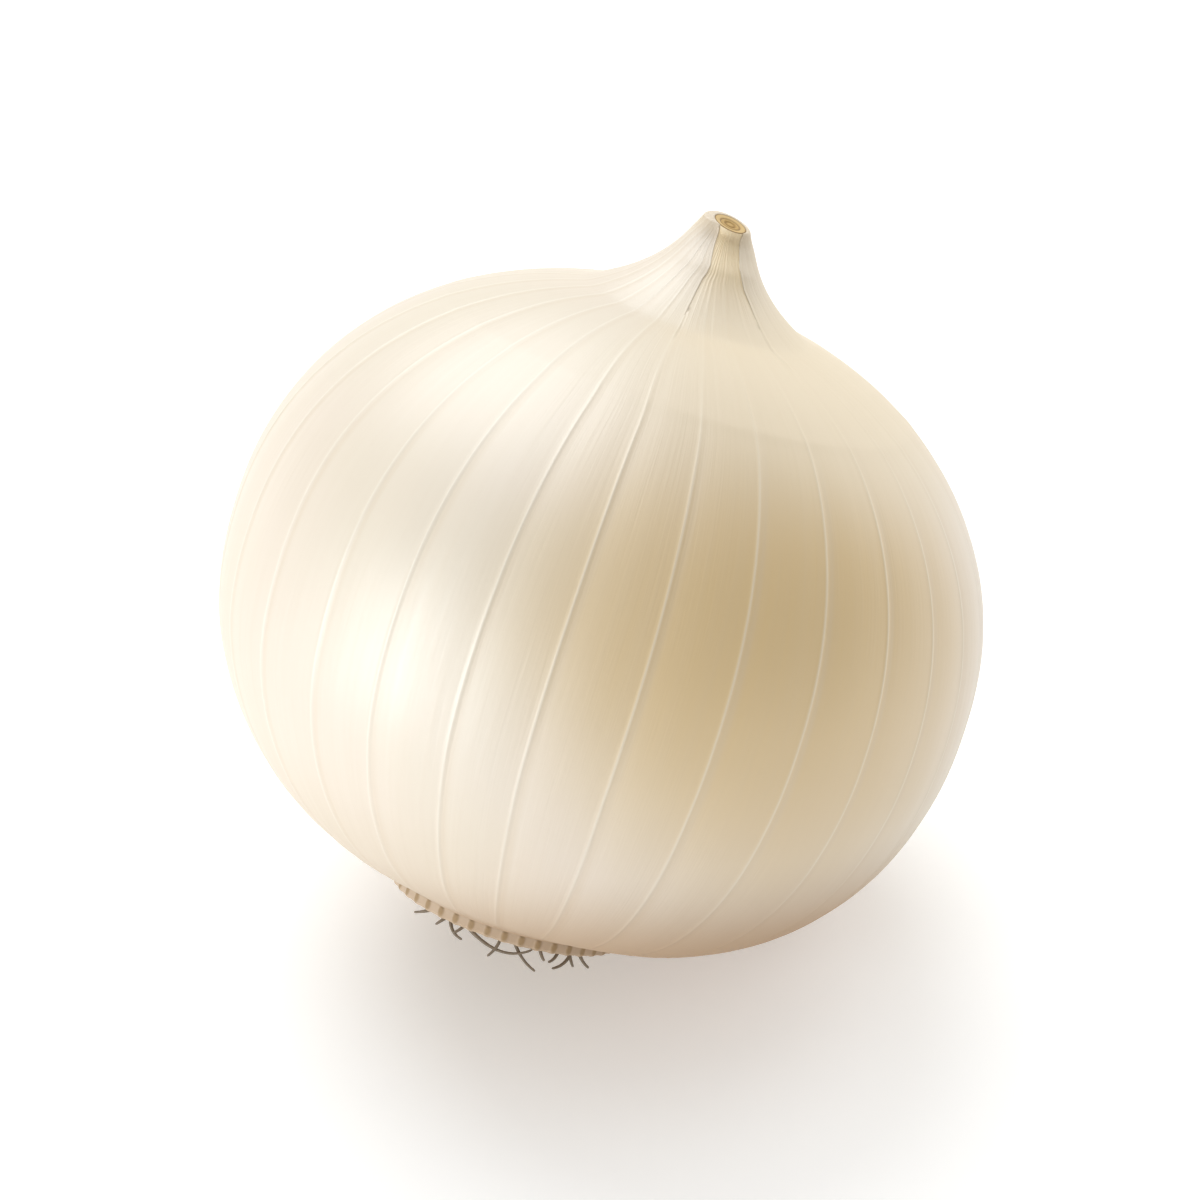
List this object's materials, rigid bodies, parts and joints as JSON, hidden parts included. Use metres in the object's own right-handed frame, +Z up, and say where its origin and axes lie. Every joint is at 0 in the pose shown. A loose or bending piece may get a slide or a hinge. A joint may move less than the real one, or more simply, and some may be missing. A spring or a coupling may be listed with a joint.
{
  "type": "white onion",
  "caption": "Whole white onion lying tilted on a small flat spot, with papery ribbed skin, a dried cut neck and a tuft of short roots.",
  "frame": {"origin": "middle of the small flat spot under the bulb", "axes": "+Z up; the front, which the picture looks at, faces -Y; the bulb's own axis leans 30 degrees from +Z towards +X and +Y, with the neck up, right and back and the roots down, left and front"},
  "size_m": [0.0803, 0.08, 0.0759],
  "materials": {
    "skin": "thin dry papery skin, cream white with a silky sheen",
    "inner_neck": "dry tan leaf sheaths, matte and finely fibrous",
    "roots": "dry fibrous grey-brown roots, matte"
  },
  "bodies": {
    "root": {"bulb": "skin", "neck_core": "inner_neck", "roots": "roots"}
  },
  "joints": []
}
